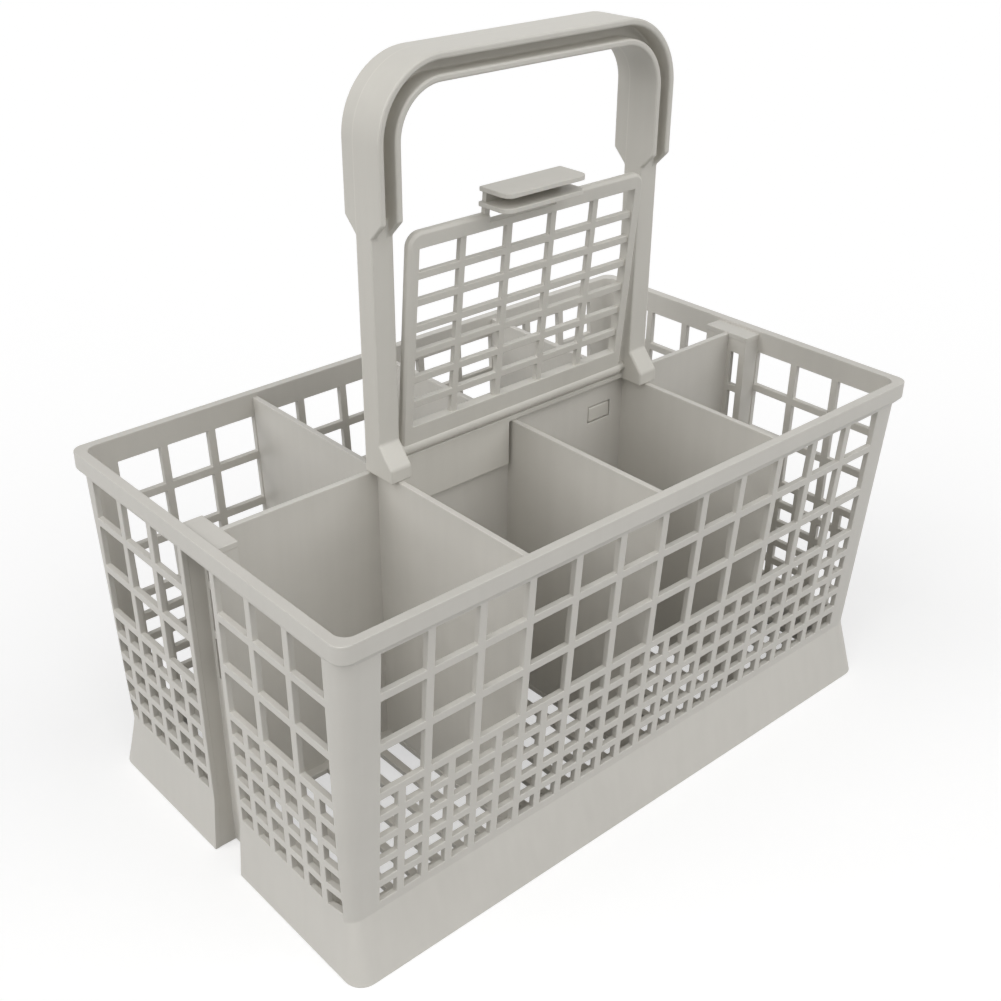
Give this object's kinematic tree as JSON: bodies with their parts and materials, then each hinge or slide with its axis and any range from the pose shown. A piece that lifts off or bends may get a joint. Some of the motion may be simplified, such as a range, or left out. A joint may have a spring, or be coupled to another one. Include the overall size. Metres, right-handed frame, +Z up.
{
  "type": "dishwasher cutlery basket",
  "caption": "Moulded lattice cutlery basket for a dishwasher, with divided cells, a tall arched carrying handle and a hinged grid flap with a finger tab.",
  "frame": {"origin": "under the middle of the basket, on the surface that its foot stands on", "axes": "+X along the basket's length, +Y away from the side that the flap folds over, +Z up"},
  "size_m": [0.24, 0.142, 0.2415],
  "materials": {
    "grey_plastic": "warm light grey moulded polypropylene, satin"
  },
  "bodies": {
    "basket": {"basket": "grey_plastic", "handle": "grey_plastic"},
    "flap": {"grid_flap": "grey_plastic"}
  },
  "joints": [
    {"name": "flap_hinge", "type": "hinge", "parent": "basket", "child": "flap", "pos_m": [0, -0.0026, 0.1249], "axis": [1, 0, 0], "range_deg": [-5, 86]}
  ]
}
